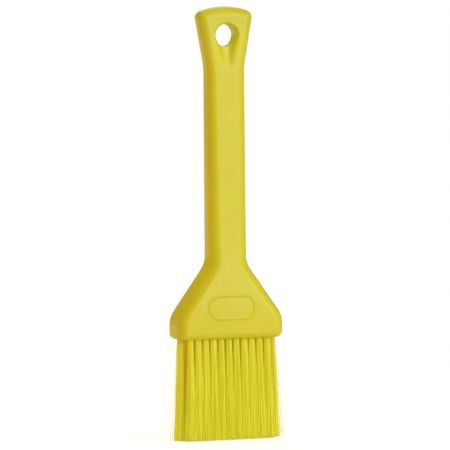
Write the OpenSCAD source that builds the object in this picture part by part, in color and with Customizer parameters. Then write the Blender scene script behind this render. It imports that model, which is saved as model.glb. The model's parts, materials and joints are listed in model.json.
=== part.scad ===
// Detail brush: a moulded handle with a wedge-shaped head, three rows of bristle tufts and
// one flat wire anchor in each tuft's hole.
// Z runs up the handle, the bristles point down, the front face looks along -Y, and the
// origin is in the middle of the plane of the bristle tips.

/* [Overall] */
// Length from the bristle tips to the top of the handle
overall_len = 195; // [185:1:215]
// Bristle length below the head
bristle_len = 45.8; // [35:0.1:50]

/* [Head] */
// Width of the head
head_w = 50.8; // [50.2:0.2:60]
// Thickness of the head
head_t = 17; // [14:0.2:18]
// Height of the head's upright sides up to the sharp shoulder corner
head_side_h = 9.6; // [9:0.1:12]
// Radius that rounds the shoulder corner
shoulder_r = 12; // [6:0.5:14]
// Radius of the head's lower corners, seen from the front
head_corner_r = 2.8; // [1.6:0.1:3]
// How far the head's lower edges are rounded, seen from the side
head_edge_r = 2; // [0.6:0.1:2.4]

/* [Grip] */
// Height of the sloping part between the head's sides and the grip
taper_h = 24.4; // [20:0.1:26]
// Radius that blends the slope into the grip
neck_r = 10; // [4:0.5:16]
// Width of the grip
grip_w = 18.2; // [15:0.1:20]
// Thickness of the grip where it leaves the head
grip_low_t = 13; // [11:0.25:13.5]
// Thickness of the handle at its top
grip_top_t = 9; // [8.5:0.25:10]
// Radius of the long edges of the grip, as a share of half its thickness
grip_edge_share = 0.8; // [0.3:0.05:0.9]
// The same for the long edges of the head
head_edge_share = 0.55; // [0.3:0.05:0.9]
// The same for the long edges at the top of the flared end
top_edge_share = 0.95; // [0.3:0.05:0.95]

/* [Flared end] */
// Height of the flared end
flare_h = 27; // [24:0.5:32]
// Width of the flared end at its top, before the corners are rounded
flare_w = 28.6; // [23:0.1:30]
// Radius that blends the grip into the flare
flare_blend_r = 30; // [10:1:40]
// Radius of the flared end's upper corners
top_corner_r = 4.2; // [2:0.2:4.4]
// How far the top edges are rounded, seen from the side
top_edge_r = 3.8; // [1:0.1:3.8]
// Radius of the crowned top edge
crown_r = 34; // [26:1:60]

/* [Hanging hole] */
// Diameter of the hanging hole
hole_d = 10; // [8:0.5:10]
// Distance from the top of the handle down to the hole's centre
hole_drop = 12.9; // [11:0.1:15]
// Thickness of the web that the hole goes through
web_t = 5.2; // [3:0.2:6]
// Diameter of the dish round the hole, at the handle's surface
dish_d = 10.8; // [10.6:0.1:12.6]
// Distance from the hole's centre down to the tip of the drop-shaped dish
dish_tip_drop = 14.4; // [13:0.1:18]

/* [Badge] */
// Width of the blank badge on the front of the head
badge_w = 24; // [18:0.5:24]
// Height of the badge
badge_h = 12.5; // [9:0.5:13]
// Height of the badge's centre above the head's lower face
badge_lift = 14.5; // [13:0.5:17]
// Width of the badge's rim
badge_rim_w = 1.6; // [0.8:0.1:2]
// How far the rim stands proud of the head
badge_proud = 0.35; // [0.2:0.05:0.6]

/* [Tufts] */
// Number of tufts in the front row and in the back row
outer_count = 11; // [5:2:11]
// Number of tufts in the middle row
middle_count = 13; // [7:2:13]
// Distance between two tufts in a row
tuft_pitch = 3.66; // [3.6:0.02:3.7]
// Distance between two rows
row_pitch = 3.3; // [3.3:0.05:3.6]
// Diameter of the tuft holes
tuft_hole_d = 2.8; // [2.6:0.05:2.9]
// Depth of the tuft holes
tuft_hole_depth = 12; // [10:0.5:14]
// Diameter of a tuft's tip
tuft_tip_d = 3.2; // [2.8:0.05:3.25]
// How much wider the rows are at the tips than at the head
tip_spread = 1.024; // [1:0.002:1.06]

/* [Anchors] */
// Length of the flat wire anchor, longer than the hole is wide so that it bites into the wall
anchor_len = 3.4; // [3:0.1:3.6]
// Height of the anchor
anchor_h = 1.8; // [1.2:0.1:2.4]
// Thickness of the anchor wire
anchor_t = 0.35; // [0.25:0.05:0.5]
// Turn of the anchors away from the rows
anchor_turn = 45; // [30:5:60]

/* [Hidden] */

// Smoothness of cylinders, and of the round children of hulls
$fn = 64;
HULL_FN = 32;
// How far a cutting tool runs past the face it cuts
CUT = 1;
// Clearance between parts that touch on the real brush
FIT = 0.05;
// Ledge left round the hanging hole at the dish's floor, radius of the dish's lower tip, and how
// deep the dish still is there
DISH_LEDGE = 0.2;
DISH_TIP_R = 1.8;
DISH_TIP_SINK = 0.2;
// Least flat left beside a rounded edge of the handle's rings
LEAST_FLAT = 0.3;
// How far the badge's rim reaches into the head, so that the two are one solid
BADGE_ROOT = 0.8;
// Height left above an anchor up to the floor of its hole
ANCHOR_HEADROOM = 2;
// Height above the head's lower face at which a tuft starts to lean outwards
LEAN_START = 1;

HANDLE_COLOUR = [0.87, 0.80, 0.10];
TUFT_COLOUR = [0.90, 0.88, 0.20];
ANCHOR_COLOUR = [0.75, 0.76, 0.78];

// Heights of the main stations
head_z = bristle_len;
shoulder_z = head_z + head_side_h;
neck_z = shoulder_z + taper_h;
flare_z = overall_len - flare_h;
hole_z = overall_len - hole_drop;
tuft_floor_z = head_z + tuft_hole_depth;

// Half widths that the outline is drawn from
head_x = head_w / 2;
grip_x = grip_w / 2;
flare_x = flare_w / 2;

// Angles of the slope and of the flare from the vertical
slope_a = atan((head_x - grip_x) / taper_h);
flare_a = atan((flare_x - grip_x) / flare_h);

function tuft_name(row, i) = str("tuft_", row, i < 10 ? "_0" : "_", i);

// Smooth step from 0 to 1 as v goes from low to high
function ease(v, low, high) =
    let (t = min(max((v - low) / (high - low), 0), 1)) t * t * (3 - 2 * t);

// ---- Handle outline: points [half width, z] going up one side ----

// Steps of the arcs at the shoulder and the neck and at the flare's blend, and of the straight
// stretches along the grip and up the flare
ARC_STEPS = 6;
BLEND_STEPS = 3;
GRIP_STEPS = 6;
FLARE_STEPS = 4;

// Arc of radius r that rounds the corner at [x, z], where the side turns from angle a0 to a1,
// both measured from the vertical and positive where the side leans inwards
function fillet(x, z, r, a0, a1, steps) =
    let (
        side = sign(a1 - a0),
        reach = r * tan(abs(a1 - a0) / 2),
        start = [x + reach * sin(a0), z - reach * cos(a0)],
        centre = start - side * r * [cos(a0), sin(a0)]
    )
    [for (i = [0 : steps]) let (a = a0 + (a1 - a0) * i / steps) centre + side * r * [cos(a), sin(a)]];

// Side of the handle, with its ends still square
side_line = concat(
    [[head_x, head_z + head_corner_r]],
    fillet(head_x, shoulder_z, shoulder_r, 0, slope_a, ARC_STEPS),
    fillet(grip_x, neck_z, neck_r, slope_a, 0, ARC_STEPS),
    [for (i = [1 : GRIP_STEPS - 1]) [grip_x, neck_z + (flare_z - neck_z) * i / GRIP_STEPS]],
    fillet(grip_x, flare_z, flare_blend_r, 0, -flare_a, BLEND_STEPS),
    [for (i = [1 : FLARE_STEPS])
        side_at_flare(flare_z + (flare_h - top_corner_r) * (i / FLARE_STEPS))]
);

// Point on the flared side at height z
function side_at_flare(z) = [grip_x + (z - flare_z) * tan(flare_a), z];

// Quarter-round steps of the two ends, as angles from the side to the end face
END_STEPS = 6;

// Stations from the bottom to the top: [half width, z, inset in depth]
stations = concat(
    [for (i = [END_STEPS : -1 : 1])
        let (a = 90 * i / END_STEPS)
        [head_x - head_corner_r * (1 - cos(a)), head_z + head_corner_r * (1 - sin(a)),
            head_edge_r * (1 - cos(a))]],
    [for (p = side_line) [p[0], p[1], 0]],
    [for (i = [1 : END_STEPS])
        let (a = 90 * i / END_STEPS, side = side_at_flare(overall_len - top_corner_r))
        [side[0] - top_corner_r * (1 - cos(a)), overall_len - top_corner_r * (1 - sin(a)),
            top_edge_r * (1 - cos(a))]]
);

// Half of the handle's thickness at height z: full over the head, then the grip's long taper
function half_depth(z) =
    let (
        along = min(max((z - neck_z) / (overall_len - neck_z), 0), 1),
        grip = grip_low_t + (grip_top_t - grip_low_t) * along,
        head = 1 - ease(z, shoulder_z, neck_z + neck_r)
    )
    (grip + (head_t - grip) * head) / 2;

// Radius of the long edges at height z, as a share of half the thickness there
function edge_share(z) =
    let (
        head_to_grip = (grip_edge_share - head_edge_share) * ease(z, shoulder_z, neck_z),
        grip_to_top = (top_edge_share - grip_edge_share) * ease(z, flare_z, overall_len)
    )
    head_edge_share + head_to_grip + grip_to_top;

// How far the crowned top edge has dropped at x, for a point at height z
function crown_drop(x, z) = x * x / (2 * crown_r) * ease(z, flare_z, overall_len);

// ---- Handle skin: one ring of points per station ----

CORNER_STEPS = 6;
FLAT_STEPS = 8;

// Quarter of a ring, in the first quadrant: the rounded edge, then the flat towards the middle
function quarter(x, y, r) = concat(
    [for (i = [0 : CORNER_STEPS])
        let (a = 90 * i / CORNER_STEPS) [x - r + r * cos(a), y - r + r * sin(a)]],
    [for (i = [1 : FLAT_STEPS - 1]) [(x - r) * (1 - i / FLAT_STEPS), y]]
);

// The whole upper half of a ring runs from +X to -X, and the lower half mirrors it
function half_ring(x, y, r) =
    let (q = quarter(x, y, r), n = len(q))
    concat(q, [[0, y]], [for (i = [n - 1 : -1 : 0]) [-q[i][0], q[i][1]]]);

function ring(station) =
    let (
        x = station[0],
        z = station[1],
        y = half_depth(z) - station[2],
        r = min(edge_share(z) * y, y - LEAST_FLAT, x - LEAST_FLAT),
        upper = half_ring(x, y, r),
        n = len(upper)
    )
    [for (p = concat(upper, [for (i = [n - 1 : -1 : 0]) [upper[i][0], -upper[i][1]]]))
        [p[0], p[1], z - crown_drop(p[0], z)]];

module handle_skin() {
    rings = [for (s = stations) ring(s)];
    count = len(rings[0]);
    last = len(rings) - 1;
    half = count / 2;
    points = [for (one = rings) each one];
    sides = [for (k = [0 : last - 1], i = [0 : count - 1])
        let (j = (i + 1) % count)
        [k * count + i, (k + 1) * count + i, (k + 1) * count + j, k * count + j]];
    bottom = [[for (i = [0 : count - 1]) i]];
    // The top face is crowned, so it is built from strips between the front and the back
    top = [for (i = [0 : half - 2])
        let (base = last * count)
        [base + i, base + count - 1 - i, base + count - 2 - i, base + i + 1]];
    polyhedron(points, concat(bottom, sides, top));
}

// ---- Handle features ----

// Drop-shaped dish round the hole, cut from the +Y side. Its floor rises from the web to its tip.
module dish() {
    floor_y = web_t / 2;
    rise = half_depth(hole_z) - floor_y;
    floor_r = hole_d / 2 + DISH_LEDGE;
    widening = (dish_d / 2 - floor_r) / rise;
    tip_z = hole_z - dish_tip_drop + DISH_TIP_R;
    hull() {
        translate([0, floor_y, hole_z])
            rotate([-90, 0, 0])
                cylinder(h = rise + CUT, r1 = floor_r, r2 = floor_r + widening * (rise + CUT), $fn = HULL_FN);
        translate([0, half_depth(tip_z) - DISH_TIP_SINK, tip_z])
            rotate([-90, 0, 0])
                cylinder(h = CUT, r = DISH_TIP_R, $fn = HULL_FN);
    }
}

module hang_hole() {
    translate([0, 0, hole_z])
        rotate([90, 0, 0])
            cylinder(h = head_t, d = hole_d, center = true);
}

// Flat shape with round ends, standing on the XZ plane and reaching from y0 to y1
module pill(w, h, y0, y1) {
    for (side = [-1, 1])
        translate([side * (w - h) / 2, y0, 0])
            rotate([-90, 0, 0])
                cylinder(h = y1 - y0, d = h);
    translate([-(w - h) / 2, y0, -h / 2])
        cube([w - h, y1 - y0, h]);
}

// Raised rim of the blank badge on the front face
module badge() {
    face_y = -head_t / 2;
    translate([0, 0, head_z + badge_lift])
        difference() {
            pill(badge_w, badge_h, face_y - badge_proud, face_y + BADGE_ROOT);
            pill(badge_w - 2 * badge_rim_w, badge_h - 2 * badge_rim_w,
                face_y - badge_proud - CUT, face_y + BADGE_ROOT + CUT);
        }
}

module handle() {
    color(HANDLE_COLOUR)
        difference() {
            union() {
                handle_skin();
                badge();
            }
            hang_hole();
            dish();
            mirror([0, 1, 0]) dish();
            for (t = tufts)
                translate([t[0], t[1], head_z - CUT])
                    cylinder(h = tuft_hole_depth + CUT, d = tuft_hole_d);
            for (t = tufts)
                anchor(t, FIT);
        }
}

// ---- Tufts and anchors ----

function row_places(count, y) = [for (i = [1 : count]) [(i - (count + 1) / 2) * tuft_pitch, y]];

front_row = row_places(outer_count, -row_pitch);
middle_row = row_places(middle_count, 0);
back_row = row_places(outer_count, row_pitch);
tufts = concat(front_row, middle_row, back_row);

// Flat wire anchor across the tuft's hole, grown by gap on every side
module anchor(place, gap) {
    translate([place[0], place[1], tuft_floor_z - ANCHOR_HEADROOM - anchor_h / 2])
        rotate([0, 0, anchor_turn])
            cube([anchor_len, anchor_t, anchor_h] + 2 * gap * [1, 1, 1], center = true);
}

// Tuft of filaments as one solid: a straight root in its hole and a free part that leans outwards
// and grows towards the tip
module tuft(place) {
    root_r = tuft_hole_d / 2 - FIT;
    tip_r = tuft_tip_d / 2;
    // The free part starts a little inside the hole and a little thinner than the root
    pivot_z = head_z + LEAN_START;
    lean = [for (v = place) atan(v * (tip_spread - 1) / pivot_z)];
    tilt = norm(lean);
    free_len = (pivot_z - tip_r * sin(tilt)) / cos(tilt);
    color(TUFT_COLOUR)
        difference() {
            union() {
                translate([place[0], place[1], head_z])
                    cylinder(h = tuft_hole_depth - FIT, r = root_r);
                translate([place[0], place[1], pivot_z])
                    rotate([180 + lean[1], -lean[0], 0])
                        cylinder(h = free_len, r1 = root_r - FIT, r2 = tip_r);
            }
            anchor(place, FIT);
        }
}

module anchors() {
    color(ANCHOR_COLOUR)
        for (t = tufts)
            anchor(t, 0);
}

for (i = [1 : outer_count])
    tuft(front_row[i - 1]);
for (i = [1 : middle_count])
    tuft(middle_row[i - 1]);
for (i = [1 : outer_count])
    tuft(back_row[i - 1]);
handle();
anchors();
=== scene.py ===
"""Looks of a detail brush: a moulded handle, filament bundles, wire anchors and a plain studio.

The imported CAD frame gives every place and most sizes. Lengths here are in millimetres, in the
frame's own axes, and become metres only where a mesh or a lamp is made.
"""

import json
import math

import bpy
import numpy as np
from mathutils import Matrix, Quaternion, Vector


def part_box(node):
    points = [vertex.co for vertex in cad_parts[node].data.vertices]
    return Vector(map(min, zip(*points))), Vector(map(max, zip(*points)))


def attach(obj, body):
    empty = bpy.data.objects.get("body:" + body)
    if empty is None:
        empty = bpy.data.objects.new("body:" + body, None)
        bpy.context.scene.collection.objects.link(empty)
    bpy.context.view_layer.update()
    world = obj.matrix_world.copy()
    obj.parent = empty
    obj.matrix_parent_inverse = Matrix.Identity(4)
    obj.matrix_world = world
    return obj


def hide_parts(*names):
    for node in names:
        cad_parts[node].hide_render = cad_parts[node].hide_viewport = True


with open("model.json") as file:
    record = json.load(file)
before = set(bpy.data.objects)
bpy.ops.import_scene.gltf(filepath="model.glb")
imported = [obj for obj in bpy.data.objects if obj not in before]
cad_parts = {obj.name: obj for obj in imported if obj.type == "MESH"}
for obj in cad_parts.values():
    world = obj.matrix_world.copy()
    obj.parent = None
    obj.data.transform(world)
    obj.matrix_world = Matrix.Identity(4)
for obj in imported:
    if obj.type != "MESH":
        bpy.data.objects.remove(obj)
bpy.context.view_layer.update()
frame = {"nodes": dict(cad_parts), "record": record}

MM = 0.001
BODY = "root"


# ---- Sizes read from the frame ----

def node_box(node):
    """Lowest and highest corner of a CAD node, in millimetres."""
    return [np.array(corner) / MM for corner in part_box(node)]


def node_points(node):
    """All vertices of a CAD node, in millimetres."""
    mesh = frame["nodes"][node].data
    points = np.empty(len(mesh.vertices) * 3, np.float32)
    mesh.vertices.foreach_get("co", points)
    return points.reshape(-1, 3).astype(float) / MM


def mount(name):
    """The record's mount of that name."""
    return next(m for m in frame["record"]["mounts"] if m["name"] == name)


handle_low, handle_high = node_box("handle")
HEAD_Z = handle_low[2]
TOP_Z = handle_high[2]
HEAD_X = handle_high[0]
HEAD_Y = handle_high[1]
BADGE_PROUD = -handle_low[1] - HEAD_Y

hang_hole = mount("hang_hole")
HOLE_Z = hang_hole["pos_m"][2] / MM
HOLE_R = hang_hole["dims"]["r_mm"]
WEB_Y = hang_hole["dims"]["length_mm"] / 2

TUFT_NODES = sorted(n for n in frame["nodes"] if n.startswith("tuft_"))
TUFT_FLOOR_Z = node_box(TUFT_NODES[0])[1][2]
ROOT_CLEARANCE = 0.05
# Height of the slices at a tuft's two ends that its places and radii are read from
END_SLICE = 1


def tuft_ends(node):
    """Centres of a tuft's root and tip, and the two radii, from its CAD solid."""
    points = node_points(node)
    root = points[points[:, 2] > TUFT_FLOOR_Z - END_SLICE]
    tip = points[points[:, 2] < END_SLICE]
    ends = []
    for ring in (root, tip):
        low, high = ring[:, :2].min(0), ring[:, :2].max(0)
        ends.append(((low + high) / 2, (high - low).mean() / 2))
    return ends


TUFTS = {node: tuft_ends(node) for node in TUFT_NODES}
TUFT_HOLE_R = TUFTS[TUFT_NODES[0]][0][1] + ROOT_CLEARANCE
# Half extents of the block of bundles at the head
BLOCK_X, BLOCK_Y = np.abs([root for (root, _), _ in TUFTS.values()]).max(0) + TUFT_HOLE_R


# ---- Shape of the handle between the places that the frame gives ----

# Heights where the side turns: from the head's upright side to the slope, then to the grip and
# then to the flared end
SHOULDER_Z = HEAD_Z + 9.6
NECK_Z = SHOULDER_Z + 24.4
FLARE_Z = TOP_Z - 27
# Half widths of the grip and of the flared end's top, and half thicknesses of the grip's two ends
GRIP_X = 9.1
FLARE_X = 14.3
GRIP_LOW_Y = 6.5
GRIP_TOP_Y = 4.5
# Radii of those turns, of the head's lower edges, of the top corners and of the crowned top
SHOULDER_R = 12
NECK_R = 10
FLARE_R = 30
HEAD_EDGE_R = 2.8
TOP_CORNER_R = 3.1
CROWN_R = 34
# Radii of the long edges, as shares of half the thickness there
HEAD_EDGE_SHARE = 0.55
GRIP_EDGE_SHARE = 0.8
TOP_EDGE_SHARE = 0.95
# How far the side's line runs on below the head
SIDE_RUN_OUT = 5

# Drop-shaped dish: radii round the hole and at its tip, and the distance between their centres
DISH_R = 5.35
DISH_TIP_R = 2
DISH_LENGTH = 12.4
# Lean of its wall at the hole and at its tip, and radii at its floor and at its rim
DISH_DRAFT = 0.18
DISH_TIP_DRAFT = 0.9
DISH_FILLET_R = 0.7
DISH_RIM_R = 1
# Radii of the rims of the hanging hole and of the tuft holes
HOLE_RIM_R = 0.25
MOUTH_R = 0.25

BADGE_Z = HEAD_Z + 14.5
BADGE_W = 24
BADGE_H = 12.5
BADGE_RIM_W = 2


def smooth_step(value, low, high):
    """0 below low, 1 above high, with a smooth change between them."""
    t = np.clip((value - low) / (high - low), 0, 1)
    return t * t * (3 - 2 * t)


def rounded_corner(before, corner, after, radius, steps=24):
    """Points of the arc that rounds the corner of a polyline."""
    before, corner, after = (np.array(p, float) for p in (before, corner, after))
    back = (before - corner) / np.linalg.norm(before - corner)
    ahead = (after - corner) / np.linalg.norm(after - corner)
    half_angle = math.acos(float(back @ ahead)) / 2
    reach = radius / math.tan(half_angle)
    middle = (back + ahead) / np.linalg.norm(back + ahead)
    centre = corner + middle * radius / math.sin(half_angle)
    start = corner + back * reach - centre
    end = corner + ahead * reach - centre
    turn = math.pi - 2 * half_angle
    share = np.linspace(0, 1, steps)[:, None]
    spoke = np.sin((1 - share) * turn) * start + np.sin(share * turn) * end
    return centre + spoke / math.sin(turn)


def handle_side():
    """Heights and half widths of the handle's side, from below the head to the top."""
    corners = [
        (HEAD_X, HEAD_Z - SIDE_RUN_OUT, 0),
        (HEAD_X, SHOULDER_Z, SHOULDER_R),
        (GRIP_X, NECK_Z, NECK_R),
        (GRIP_X, FLARE_Z, FLARE_R),
        (FLARE_X, TOP_Z, 0),
    ]
    runs = [[corners[0][:2]]]
    for before, corner, after in zip(corners, corners[1:], corners[2:]):
        runs.append(rounded_corner(before[:2], corner[:2], after[:2], corner[2]))
    runs.append([corners[-1][:2]])
    line = np.vstack(runs)
    return line[:, 1], line[:, 0]


SIDE_Z, SIDE_X = handle_side()
SIDE_COSINE = 1 / np.hypot(1, np.gradient(SIDE_X, SIDE_Z))


def half_depth(z):
    """Half of the handle's thickness: full over the head, then the grip's long taper."""
    along = np.clip((z - NECK_Z) / (TOP_Z - NECK_Z), 0, 1)
    grip = GRIP_LOW_Y + (GRIP_TOP_Y - GRIP_LOW_Y) * along
    head = 1 - smooth_step(z, SHOULDER_Z, NECK_Z + NECK_R)
    return grip + (HEAD_Y - grip) * head


def edge_radius(z):
    """Radius of the handle's long edges at height z."""
    head_to_grip = (GRIP_EDGE_SHARE - HEAD_EDGE_SHARE) * smooth_step(z, SHOULDER_Z, NECK_Z)
    grip_to_top = (TOP_EDGE_SHARE - GRIP_EDGE_SHARE) * smooth_step(z, FLARE_Z, TOP_Z)
    return (HEAD_EDGE_SHARE + head_to_grip + grip_to_top) * half_depth(z)


def round_max(a, b, radius):
    """Distance to the part common to two solids, with their shared edge rounded."""
    outside = np.hypot(np.maximum(a + radius, 0), np.maximum(b + radius, 0))
    return outside + np.minimum(np.maximum(a, b) + radius, 0) - radius


def drop_distance(x, z):
    """Distance to a drop-shaped outline: wide round the hanging hole, narrow at its lower tip."""
    sine = (DISH_R - DISH_TIP_R) / DISH_LENGTH
    cosine = math.sqrt(1 - sine * sine)
    down = HOLE_Z - z
    across = np.abs(x)
    along = down * cosine - across * sine
    flank = across * cosine + down * sine - DISH_R
    upper = np.hypot(across, down) - DISH_R
    lower = np.hypot(across, down - DISH_LENGTH) - DISH_TIP_R
    return np.where(along < 0, upper, np.where(along > DISH_LENGTH * cosine, lower, flank))


def dish(x, y, z):
    """Distance to the drop-shaped recess round the hanging hole. Its floor rises to the tip."""
    down = HOLE_Z - z
    surface = half_depth(z)
    rise = np.clip((down - HOLE_R) / (DISH_LENGTH + DISH_TIP_R - HOLE_R), 0, 1)
    floor = WEB_Y + (surface - WEB_Y) * rise
    draft = DISH_DRAFT + (DISH_TIP_DRAFT - DISH_DRAFT) * smooth_step(down, 0, DISH_LENGTH / 2)
    wall = (drop_distance(x, z) + draft * (surface - np.abs(y))) / np.hypot(1, draft)
    return round_max(wall, floor - np.abs(y), DISH_FILLET_R)


def badge_relief(x, z):
    """Height of the blank badge's raised rim over the head's front face."""
    straight = np.maximum(np.abs(x) - (BADGE_W - BADGE_H) / 2, 0)
    off_middle = np.abs(np.hypot(straight, z - BADGE_Z) - (BADGE_H - BADGE_RIM_W) / 2)
    return BADGE_PROUD * (1 - smooth_step(off_middle, 0, BADGE_RIM_W / 2))


def tuft_holes(x, y, z):
    """Distance to the nearest tuft hole, a blind round hole that opens downwards."""
    nearest = np.inf
    for (centre, _), _ in TUFTS.values():
        nearest = np.minimum(nearest, np.hypot(x - centre[0], y - centre[1]))
    return np.maximum(nearest - TUFT_HOLE_R, z - TUFT_FLOOR_Z)


def handle_field(x, y, z):
    """Signed distance to the handle: negative inside, zero on its skin."""
    side = (np.abs(x) - np.interp(z, SIDE_Z, SIDE_X)) * np.interp(z, SIDE_Z, SIDE_COSINE)
    crown = z - TOP_Z + x * x / (2 * CROWN_R)
    outline = round_max(side, crown, TOP_CORNER_R)
    faces = np.abs(y) - half_depth(z) - np.where(y < 0, badge_relief(x, z), 0)
    skin = round_max(outline, faces, edge_radius(z))
    skin = round_max(skin, HEAD_Z - z, HEAD_EDGE_R)
    skin = round_max(skin, -dish(x, y, z), DISH_RIM_R)
    skin = round_max(skin, HOLE_R - np.hypot(x, z - HOLE_Z), HOLE_RIM_R)
    return round_max(skin, -tuft_holes(x, y, z), MOUTH_R)


# ---- Skin of a field as a quad mesh ----

def surface_net(field, axes):
    """Quads over the field's zero level, with one point in every grid cell that it crosses."""
    values = field(axes[0][:, None, None], axes[1][None, :, None], axes[2][None, None, :])
    shape = values.shape
    places, cells, quads = [], [], []
    for axis in range(3):
        step = np.eye(3, dtype=int)[axis]
        low = np.moveaxis(values, axis, 0)[:-1]
        high = np.moveaxis(values, axis, 0)[1:]
        crossed = np.argwhere((low < 0) != (high < 0))
        # argwhere gives the moved axis first, so the columns are put back in order
        order = np.insert(np.arange(1, 3), axis, 0)
        crossed = crossed[:, order]
        start = values[tuple(crossed.T)]
        end = values[tuple((crossed + step).T)]
        place = crossed + step * (start / (start - end))[:, None]
        second, third = np.eye(3, dtype=int)[[(axis + 1) % 3, (axis + 2) % 3]]
        ring = [crossed - second - third, crossed - third, crossed, crossed - second]
        ids = np.stack([np.ravel_multi_index(tuple(cell.T), shape) for cell in ring], 1)
        leaves = (start < 0)[:, None]
        quads.append(np.where(leaves, ids, ids[:, ::-1]))
        places.append(np.repeat(place, 4, axis=0))
        cells.append(ids.ravel())
    names, index = np.unique(np.concatenate(cells), return_inverse=True)
    counts = np.bincount(index)
    places = np.concatenate(places)
    mean = [np.bincount(index, places[:, a]) / counts for a in range(3)]
    points = np.stack([np.interp(mean[a], np.arange(shape[a]), axes[a]) for a in range(3)], 1)
    return points, np.searchsorted(names, np.concatenate(quads))


def gradient(field, points, reach=0.01):
    """Direction in which the field grows fastest, by central differences."""
    parts = []
    for axis in range(3):
        step = reach * np.eye(3)[axis]
        parts.append(field(*(points + step).T) - field(*(points - step).T))
    return np.stack(parts, 1) / (2 * reach)


def settle(field, points, passes=2, least_slope=0.05):
    """Moves points onto the field's zero level."""
    for _ in range(passes):
        slope = gradient(field, points)
        size = np.maximum((slope * slope).sum(1), least_slope)
        points = points - slope * (field(*points.T) / size)[:, None]
    return points


def even_out(field, points, quads, passes=4, share=0.5):
    """Spreads points evenly over the skin, so that the quads come out regular."""
    here = quads.ravel()
    there = np.roll(quads, -1, axis=1).ravel()
    ends = np.concatenate([here, there])
    others = np.concatenate([there, here])
    counts = np.bincount(ends)[:, None]
    for _ in range(passes):
        mean = np.stack([np.bincount(ends, points[others, a]) for a in range(3)], 1) / counts
        points = settle(field, points + share * (mean - points))
    return points


def add_piece(name, points, faces, material):
    """New mesh object that rides on the brush's only body."""
    mesh = bpy.data.meshes.new(name)
    mesh.from_pydata((points * MM).tolist(), [], faces)
    mesh.shade_smooth()
    mesh.materials.append(material)
    piece = bpy.data.objects.new(name, mesh)
    bpy.context.scene.collection.objects.link(piece)
    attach(piece, BODY)
    return piece


# ---- Handle ----

# Grid cells over the head and the flared end, and their height over the plain grip
CELL = 0.4
GRIP_CELL = 1.2
# How far the grid reaches past the handle
MARGIN = 2


def handle_axes():
    """Grid lines for the handle's mesh: fine at both ends, with long cells over the grip."""
    x = np.arange(-HEAD_X - MARGIN, HEAD_X + MARGIN, CELL)
    y = np.arange(-HEAD_Y - MARGIN, HEAD_Y + MARGIN, CELL)
    grip_start, grip_end = NECK_Z + NECK_R, FLARE_Z - NECK_R
    z = np.concatenate([
        np.arange(HEAD_Z - MARGIN, grip_start, CELL),
        np.arange(grip_start, grip_end, GRIP_CELL),
        np.arange(grip_end, TOP_Z + MARGIN, CELL),
    ])
    return x, y, z


def build_handle(material):
    """The moulded handle, with soft edges, its dished hanging hole, blank badge and tuft holes."""
    points, quads = surface_net(handle_field, handle_axes())
    points = even_out(handle_field, settle(handle_field, points), quads)
    piece = add_piece("handle_moulding", points, quads.tolist(), material)
    normals = gradient(handle_field, points)
    normals /= np.linalg.norm(normals, axis=1)[:, None]
    piece.data.normals_split_custom_set_from_vertices(normals.tolist())
    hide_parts("handle")


# ---- Bristles ----

FILAMENTS = 170
FILAMENT_R = 0.095
FILAMENT_SIDES = 5
FILAMENT_RINGS = 9
# How far up in its hole a filament starts
ROOT_RISE = 5
# Share of a filament's length at which its end starts to narrow, and how narrow the end gets
TIP_START = 0.985
TIP_SHARE = 0.55
# How much wider than its CAD solid a bundle is at the tip, and how far its tips scatter
TIP_FRAY = 0.9
TIP_SCATTER = 0.3
# Share of the filaments that have been bent away from their bundle, how far, and the scatter
BENT_SHARE = 0.03
BENT_REACH = 0.9
BENT_SCATTER = 0.5
# How unevenly the filaments are cut, the share that is clearly too short, and by how much
CUT_SPREAD = 0.28
SHORT_SHARE = 0.06
SHORT_BY = 1.2
# How far a filament waves off its line
WAVE = 0.16
# Share of a filament's lean that comes late, as a curve
LATE_LEAN = 0.35
# Splay of the rows at the tips and number of filaments that stand off, at the two ends
LEFT_SPLAY, LEFT_STRAYS = 0.3, 2
RIGHT_SPLAY, RIGHT_STRAYS = 0.9, 6
# How far the first and the last of those filaments stand off
STRAY_REACH = 0.5, 2.3
GOLDEN_TURN = math.pi * (3 - math.sqrt(5))


def filament_spokes():
    """Even spread of the filaments over a bundle's round section, as places in a unit circle."""
    number = np.arange(FILAMENTS)
    out = np.sqrt((number + 0.5) / FILAMENTS)
    turn = number * GOLDEN_TURN
    return np.stack([np.cos(turn), np.sin(turn)], 1) * out[:, None]


def filament_tips(node, spoke, chance):
    """Places of a bundle's filament tips, seen from above."""
    (root, _), (tip, tip_r) = TUFTS[node]
    end = tip + spoke * (tip_r + TIP_FRAY) + chance.normal(0, TIP_SCATTER, (FILAMENTS, 2))
    bent = chance.random(FILAMENTS) < BENT_SHARE
    reach = BENT_REACH * spoke + chance.normal(0, BENT_SCATTER, (FILAMENTS, 2))
    end += bent[:, None] * reach
    side = math.copysign(1, root[0])
    splay, strays = (RIGHT_SPLAY, RIGHT_STRAYS) if side > 0 else (LEFT_SPLAY, LEFT_STRAYS)
    end[:, 0] += splay * (root[0] / BLOCK_X) ** 3
    # Only the two outermost bundles have filaments that stand off sideways
    if abs(root[0]) > BLOCK_X - 2 * TUFT_HOLE_R:
        outermost = np.argsort(side * spoke[:, 0])[-strays:]
        end[outermost, 0] += side * np.linspace(*STRAY_REACH, strays)
    return end


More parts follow.
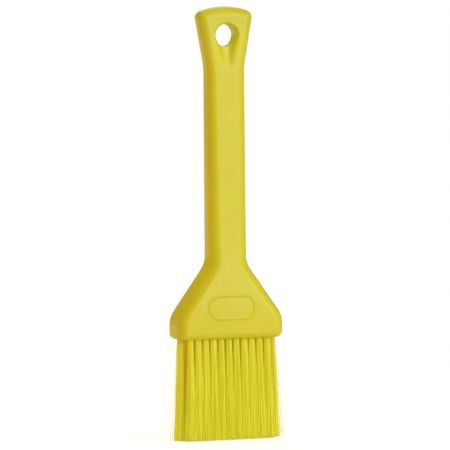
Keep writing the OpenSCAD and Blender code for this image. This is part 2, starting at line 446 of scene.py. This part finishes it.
def filament_paths(node, seed):
    """Centre lines of one bundle: an array of filaments, rings along each, and coordinates."""
    (root, root_r), _ = TUFTS[node]
    chance = np.random.default_rng(seed)
    spoke = filament_spokes()
    start = root + spoke * (root_r - FILAMENT_R)
    end = filament_tips(node, spoke, chance)
    low = np.abs(chance.normal(0, CUT_SPREAD, FILAMENTS))
    low += (chance.random(FILAMENTS) < SHORT_SHARE) * SHORT_BY
    high = HEAD_Z + ROOT_RISE
    share = np.append(np.linspace(0, TIP_START, FILAMENT_RINGS - 1), 1)[None, :, None]
    lean = (1 - LATE_LEAN) * share + LATE_LEAN * share ** 2
    path = np.empty((FILAMENTS, FILAMENT_RINGS, 3))
    path[..., :2] = start[:, None] * (1 - lean) + end[:, None] * lean
    path[..., :2] += chance.normal(0, WAVE, (FILAMENTS, 1, 2)) * np.sin(math.pi * share)
    path[..., 2] = high + (low[:, None] - high) * share[..., 0]
    return path, chance.random(FILAMENTS)


def depth_in_block(path):
    """How deep in the block each filament grows: 0 at the block's outside and 1 in its middle."""
    place = np.abs(path[:, 0, :2])
    from_face = 1 - place[:, 1] / BLOCK_Y
    from_side = (BLOCK_X - place[:, 0]) / BLOCK_Y
    return np.minimum(from_face, from_side)


def filament_mesh(path):
    """Thin closed tubes round the paths, as points and faces."""
    count, rings = path.shape[:2]
    turn = np.arange(FILAMENT_SIDES) * 2 * math.pi / FILAMENT_SIDES
    circle = np.stack([np.cos(turn), np.sin(turn), np.zeros(FILAMENT_SIDES)], 1) * FILAMENT_R
    size = np.ones(rings)
    size[-1] = TIP_SHARE
    tubes = path[:, :, None] + circle[None, None] * size[None, :, None, None]
    points = tubes.reshape(-1, 3)
    index = np.arange(len(points)).reshape(count, rings, FILAMENT_SIDES)
    beside = np.roll(index, -1, axis=2)
    sides = np.stack([index[:, :-1], index[:, 1:], beside[:, 1:], beside[:, :-1]], -1)
    faces = sides.reshape(-1, 4).tolist()
    faces += index[:, 0].tolist()
    faces += index[:, -1, ::-1].tolist()
    return points, faces


def build_bundle(node, seed, material):
    """One tuft as a bundle of separate filaments."""
    path, tint = filament_paths(node, seed)
    points, faces = filament_mesh(path)
    name = node.replace("tuft_", "bristles_")
    piece = add_piece(name, points, faces, material)
    for label, values in (("strand", tint), ("depth", depth_in_block(path))):
        attribute = piece.data.attributes.new(label, "FLOAT", "POINT")
        spread = np.repeat(values, FILAMENT_RINGS * FILAMENT_SIDES)
        attribute.data.foreach_set("value", spread.astype(np.float32))
    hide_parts(node)


# ---- Materials ----

PLASTIC = (0.655, 0.685, 0.010, 1)
PLASTIC_FLOW = (0.68, 0.71, 0.014, 1)
# Painted shade: the handle's colour at its top, darker than the rest
PLASTIC_PAINTED_TOP_SHADE = (0.61, 0.665, 0.010, 1)
LEMON = (0.885, 0.905, 0.052, 1)
OCHRE = (0.5, 0.42, 0.0, 1)
# Painted shade: amber for the shaded gaps between bundles near their roots
AMBER_PAINTED_SHADE = (0.87, 0.69, 0.02, 1)
WIRE_DARK = (0.45, 0.46, 0.47, 1)
WIRE_LIGHT = (0.62, 0.62, 0.61, 1)
# Heights over which the handle darkens to its painted top shade, and over which the painted amber
# shade comes in
PAINTED_TOP_SHADE_BAND = (TOP_Z - 16) * MM, (TOP_Z - 6) * MM
AMBER_SHADE_BAND = 0.1 * HEAD_Z * MM, 0.8 * HEAD_Z * MM


class Nodes:
    """Short way to build a material's node tree."""

    def __init__(self, name):
        self.material = bpy.data.materials.new(name)
        self.material.use_nodes = True
        self.tree = self.material.node_tree
        self.shader = self.tree.nodes["Principled BSDF"]

    def add(self, kind, inputs=None, **settings):
        """A node with its settings and inputs. An input is a value or another node's output."""
        node = self.tree.nodes.new("ShaderNode" + kind)
        for key, value in settings.items():
            setattr(node, key, value)
        for key, value in (inputs or {}).items():
            self.put(node.inputs[key], value)
        return node

    def put(self, socket, value):
        """Links an output to an input, or sets the input's value."""
        if isinstance(value, bpy.types.NodeSocket):
            self.tree.links.new(value, socket)
        else:
            socket.default_value = value

    def noise(self, scale, detail=2.0, stretch=(1, 1, 1)):
        """Noise in the object's own space, in metres, stretched along the axes."""
        place = self.add("TexCoord")
        mapped = self.add("Mapping", {"Vector": place.outputs["Object"], "Scale": stretch})
        inputs = {"Vector": mapped.outputs["Vector"], "Scale": scale, "Detail": detail}
        return self.add("TexNoise", inputs).outputs["Fac"]

    def height(self):
        """Height in the object's own space, in metres."""
        place = self.add("TexCoord").outputs["Object"]
        return self.add("SeparateXYZ", {"Vector": place}).outputs["Z"]

    def attribute(self, name):
        """Number that the mesh carries at each of its points."""
        return self.add("Attribute", attribute_name=name).outputs["Fac"]

    def math(self, operation, first, second):
        """Sum, product or other result of two numbers."""
        return self.add("Math", {0: first, 1: second}, operation=operation).outputs["Value"]

    def ramp(self, value, low, high, to_low, to_high):
        """Value carried from one range to another."""
        inputs = {"Value": value, "From Min": low, "From Max": high}
        inputs.update({"To Min": to_low, "To Max": to_high})
        return self.add("MapRange", inputs).outputs["Result"]

    def mix(self, share, first, second):
        """Colour between two colours. A Mix node keeps its colour sockets at these numbers."""
        node = self.add("Mix", data_type="RGBA")
        self.put(node.inputs[0], share)
        self.put(node.inputs[6], first)
        self.put(node.inputs[7], second)
        return node.outputs[2]

    def finish(self, **inputs):
        """Sets the shader's inputs by name and returns the material."""
        for key, value in inputs.items():
            self.put(self.shader.inputs[key.replace("_", " ")], value)
        return self.material


def bump(nodes, height, distance, strength=1.0):
    """Normal of a bump of that height in metres."""
    inputs = {"Height": height, "Distance": distance, "Strength": strength}
    return nodes.add("Bump", inputs).outputs["Normal"]


def handle_material():
    """Satin polypropylene: faint flow marks, a fine grain, small scuffs and painted shade that
    darkens its top.
    """
    nodes = Nodes("moulded_plastic")
    flow = nodes.noise(38, 3, (1, 1, 0.25))
    grain = nodes.noise(2600, 2)
    scuffs = nodes.noise(420, 4, (1, 1, 0.08))
    # Painted shade: the colour darkens towards the flared top
    upper = nodes.ramp(nodes.height(), *PAINTED_TOP_SHADE_BAND, 0, 1)
    marked = nodes.mix(nodes.ramp(flow, 0.35, 0.65, 0, 1), PLASTIC, PLASTIC_FLOW)
    return nodes.finish(
        Base_Color=nodes.mix(upper, marked, PLASTIC_PAINTED_TOP_SHADE),
        Roughness=nodes.ramp(scuffs, 0.35, 0.75, 0.3, 0.42),
        Normal=bump(nodes, grain, 0.00004, 0.6),
        IOR=1.49,
        Subsurface_Weight=0.6,
        Subsurface_Radius=(1.0, 0.3, 0.05),
        Subsurface_Scale=0.003,
    )


def filament_material():
    """Lemon polyester: a shade for each filament, and painted amber shade near the roots deep in
    the block, where the gaps between bundles lie in shadow.

    Its faint glow stands for the light that such filaments carry along to their tips.
    """
    nodes = Nodes("filament")
    along = nodes.noise(140, 2, (1, 1, 0.2))
    shade = nodes.math("ADD", nodes.attribute("strand"), along)
    lemon = nodes.mix(nodes.ramp(shade, 0.3, 1.7, 0.06, 0), LEMON, OCHRE)
    # Painted shade: amber on filaments deep in the block, fading out towards the tips
    deep = nodes.ramp(nodes.attribute("depth"), 0.12, 0.65, 0, 1)
    rooted = nodes.ramp(nodes.height(), *AMBER_SHADE_BAND, 0, 1)
    return nodes.finish(
        Base_Color=nodes.mix(nodes.math("MULTIPLY", deep, rooted), lemon, AMBER_PAINTED_SHADE),
        Roughness=nodes.ramp(along, 0.3, 0.7, 0.3, 0.42),
        Normal=bump(nodes, nodes.noise(3000, 1, (1, 1, 0.05)), 0.00001),
        IOR=1.57,
        Emission_Color=(0.9, 1.0, 0.02, 1),
        Emission_Strength=0.065,
    )


def anchor_material():
    """Drawn stainless wire with lines along its length."""
    nodes = Nodes("anchor_wire")
    lines = nodes.noise(2500, 3, (1, 1, 12))
    return nodes.finish(
        Base_Color=nodes.mix(lines, WIRE_DARK, WIRE_LIGHT),
        Metallic=1.0,
        Roughness=nodes.ramp(lines, 0.3, 0.7, 0.25, 0.45),
        Normal=bump(nodes, lines, 0.00002),
    )


# ---- Studio ----

MIDDLE = Vector((0, 0, TOP_Z / 2 * MM))
# Camera: angles in degrees, lengths in millimetres, how far it sees in metres, and the width that
# it sees at the brush
CAMERA_AZIMUTH = -21
CAMERA_ROLL = 0.5
CAMERA_HEIGHT = 250
CAMERA_DISTANCE = 2400
CAMERA_AIM_Z = 96.7
CAMERA_REACH = 100
VIEW_WIDTH = 202.05
SENSOR = 36
# How far the floor lies below the bristle tips, and its radius
FLOOR_GAP = 0.5
FLOOR_R = 30000
FLOOR_SIDES = 96
# Distances from the brush, in metres, between which the floor fades into the backdrop
FLOOR_FADE = 0.05, 0.45


def aim(thing, target):
    """Turns a lamp or the camera towards a point in metres."""
    away = Vector(target) - thing.location
    thing.rotation_mode = "QUATERNION"
    thing.rotation_quaternion = away.to_track_quat("-Z", "Y")


def round_about(azimuth, elevation, distance):
    """Place at an azimuth and elevation in degrees from the brush's middle, in metres."""
    a, e = math.radians(azimuth), math.radians(elevation)
    away = Vector((math.sin(a) * math.cos(e), -math.cos(a) * math.cos(e), math.sin(e)))
    return MIDDLE + distance * away


def add_camera():
    """Long lens a little above the brush's top, seeing its front and its left side."""
    data = bpy.data.cameras.new("camera")
    data.sensor_width = SENSOR
    data.lens = SENSOR * CAMERA_DISTANCE / VIEW_WIDTH
    data.clip_end = CAMERA_REACH
    camera = bpy.data.objects.new("camera", data)
    bpy.context.scene.collection.objects.link(camera)
    turn = math.radians(CAMERA_AZIMUTH)
    camera.location = (
        math.sin(turn) * CAMERA_DISTANCE * MM,
        -math.cos(turn) * CAMERA_DISTANCE * MM,
        CAMERA_HEIGHT * MM,
    )
    aim(camera, (0, 0, CAMERA_AIM_Z * MM))
    roll = Quaternion((0, 0, 1), math.radians(-CAMERA_ROLL))
    camera.rotation_quaternion = camera.rotation_quaternion @ roll
    bpy.context.scene.camera = camera


def add_softbox(name, azimuth, elevation, distance, size, watts, colour=(1, 1, 1), mirrored=True):
    """Square area lamp aimed at the brush. Glossy surfaces show it only if it is mirrored."""
    data = bpy.data.lights.new(name, "AREA")
    data.size = size
    data.energy = watts
    data.color = colour
    lamp = bpy.data.objects.new(name, data)
    bpy.context.scene.collection.objects.link(lamp)
    lamp.location = round_about(azimuth, elevation, distance)
    lamp.visible_glossy = mirrored
    aim(lamp, MIDDLE)


def add_world(ambient, mirrored):
    """White backdrop for the camera, a warm even light for surfaces and a dim one for gloss."""
    world = bpy.data.worlds.new("studio")
    bpy.context.scene.world = world
    world.use_nodes = True
    tree = world.node_tree
    path = tree.nodes.new("ShaderNodeLightPath")
    plain = tree.nodes.new("ShaderNodeRGB")
    plain.outputs[0].default_value = (*ambient, 1)
    colour = plain.outputs[0]
    shown = {"Is Glossy Ray": (mirrored, mirrored, mirrored, 1), "Is Camera Ray": (1, 1, 1, 1)}
    for ray, seen in shown.items():
        mix = tree.nodes.new("ShaderNodeMix")
        mix.data_type = "RGBA"
        tree.links.new(path.outputs[ray], mix.inputs[0])
        tree.links.new(colour, mix.inputs[6])
        mix.inputs[7].default_value = seen
        colour = mix.outputs[2]
    tree.links.new(colour, tree.nodes["Background"].inputs["Color"])


def floor_material():
    """Pale matt floor, which the camera sees fading into the white backdrop."""
    nodes = Nodes("pale_floor")
    seen = nodes.add("LightPath").outputs["Is Camera Ray"]
    position = nodes.add("NewGeometry").outputs["Position"]
    reach = nodes.add("VectorMath", {0: position}, operation="LENGTH").outputs["Value"]
    fade = nodes.ramp(reach, *FLOOR_FADE, 0, 1)
    nodes.finish(
        Base_Color=nodes.mix(seen, (0.8, 0.8, 0.8, 1), (0.5, 0.5, 0.5, 1)),
        Roughness=0.9,
        Emission_Color=(1, 1, 1, 1),
        Emission_Strength=nodes.ramp(seen, 0, 1, 0, 0.72),
    )
    glow = nodes.add("Emission", {"Color": (1, 1, 1, 1), "Strength": 1.0})
    share = nodes.math("MULTIPLY", fade, seen)
    blend = nodes.add("MixShader", {0: share, 1: nodes.shader.outputs[0], 2: glow.outputs[0]})
    nodes.put(nodes.tree.nodes["Material Output"].inputs["Surface"], blend.outputs[0])
    return nodes.material


def add_floor():
    """Round floor just below the bristle tips."""
    turn = np.arange(FLOOR_SIDES) * 2 * math.pi / FLOOR_SIDES
    height = np.full(FLOOR_SIDES, -FLOOR_GAP)
    points = np.stack([FLOOR_R * np.cos(turn), FLOOR_R * np.sin(turn), height], 1) * MM
    mesh = bpy.data.meshes.new("floor")
    mesh.from_pydata(points.tolist(), [], [list(range(FLOOR_SIDES))])
    mesh.materials.append(floor_material())
    floor = bpy.data.objects.new("floor", mesh)
    bpy.context.scene.collection.objects.link(floor)


# ---- The scene ----

build_handle(handle_material())
bristle = filament_material()
for seed, node in enumerate(TUFT_NODES):
    build_bundle(node, seed, bristle)
anchors = frame["nodes"]["anchors"]
anchors.data.materials.clear()
anchors.data.materials.append(anchor_material())

add_floor()
add_world(ambient=(0.38, 0.19, 0.12), mirrored=0.08)
add_softbox("key", 25, 16, 2.2, 1.85, 33, colour=(0.985, 1, 0.9))
add_softbox("warm_fill", -75, 5, 1.8, 1.2, 4, colour=(1.0, 0.3, 0.05), mirrored=False)
add_softbox("left", -140, 10, 1.8, 1, 14, colour=(1, 0.88, 0.8), mirrored=False)
add_softbox("back", 165, 45, 1.8, 1, 7)
add_softbox("top", -10, 75, 1.5, 1.4, 4)
add_camera()
bpy.context.scene.view_settings.view_transform = "Standard"
# Light that bounces many times in the dish and between the filaments deepens their colour
bpy.context.scene.cycles.diffuse_bounces = 10
